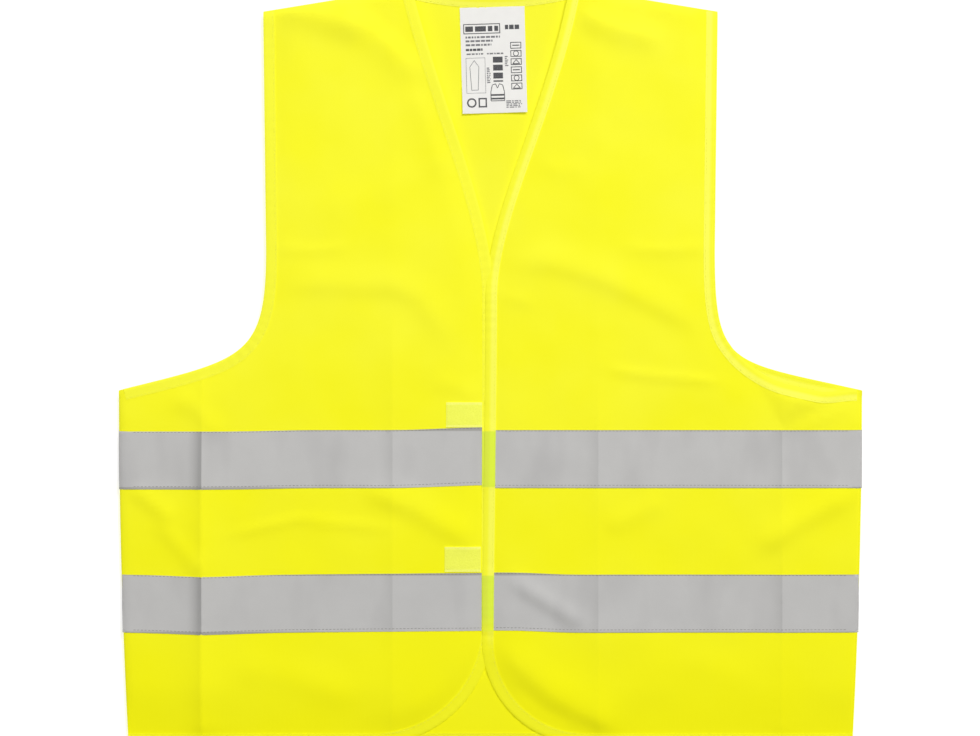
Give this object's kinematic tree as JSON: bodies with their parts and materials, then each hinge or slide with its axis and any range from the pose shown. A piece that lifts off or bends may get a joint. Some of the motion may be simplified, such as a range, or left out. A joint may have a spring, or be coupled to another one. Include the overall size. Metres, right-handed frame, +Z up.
{
  "type": "high visibility vest",
  "caption": "Sleeveless fluorescent yellow vest with a V neck, bound edges and grey reflective bands, laid flat with fronts that fold open.",
  "frame": {"origin": "bottom centre of the box around the vest, on the surface it lies on", "axes": "+Z up from the surface, through the back and then the fronts; +Y towards the neck; +X towards the wearer's left"},
  "size_m": [0.6436, 0.656, 0.0111],
  "materials": {
    "fluorescent_knit": "fine warp-knit polyester, fluorescent yellow",
    "edge_binding": "folded bias tape with one stitched line",
    "reflective_tape": "glass-bead retroreflective tape, satin grey",
    "touch_fastener": "woven hook-and-loop tape, pale yellow",
    "label_cloth": "smooth white printed label cloth",
    "sewing_thread": "polyester sewing thread",
    "label_print": "dark label ink"
  },
  "bodies": {
    "root": {"back_panel": "fluorescent_knit", "back_neck_binding": "edge_binding", "back_hem_binding": "edge_binding", "upper_band": "reflective_tape", "lower_band": "reflective_tape", "left_front_side_panel": "fluorescent_knit", "left_front_hem_binding": "edge_binding", "left_armhole_back_binding": "edge_binding", "left_armhole_front_binding": "edge_binding", "left_shoulder_seam": "fluorescent_knit", "left_side_seam": "fluorescent_knit", "right_front_side_panel": "fluorescent_knit", "right_front_hem_binding": "edge_binding", "right_armhole_back_binding": "edge_binding", "right_armhole_front_binding": "edge_binding", "right_shoulder_seam": "fluorescent_knit", "right_side_seam": "fluorescent_knit"},
    "right_front": {"right_front_panel": "fluorescent_knit", "right_front_edge_binding": "edge_binding", "right_front_upper_band": "reflective_tape", "right_front_lower_band": "reflective_tape", "upper_loop_patch": "touch_fastener", "lower_loop_patch": "touch_fastener"},
    "left_front": {"left_front_panel": "fluorescent_knit", "left_front_edge_binding": "edge_binding", "left_front_upper_band": "reflective_tape", "left_front_lower_band": "reflective_tape", "upper_hook_patch": "touch_fastener", "lower_hook_patch": "touch_fastener"},
    "label": {"care_label": "label_cloth"}
  },
  "joints": [
    {"name": "right_front_fold", "type": "hinge", "parent": "root", "child": "right_front", "pos_m": [-0.069, 0.328, 0.0112], "axis": [-0.327, -0.945, 0], "range_deg": [0, 170]},
    {"name": "left_front_fold", "type": "hinge", "parent": "root", "child": "left_front", "pos_m": [0.069, 0.328, 0.0112], "axis": [-0.327, 0.945, 0], "range_deg": [0, 170]},
    {"name": "label_lift", "type": "hinge", "parent": "root", "child": "label", "pos_m": [0.002, 0.3103, 0.0032], "axis": [-1, 0, 0], "range_deg": [0, 150]}
  ]
}
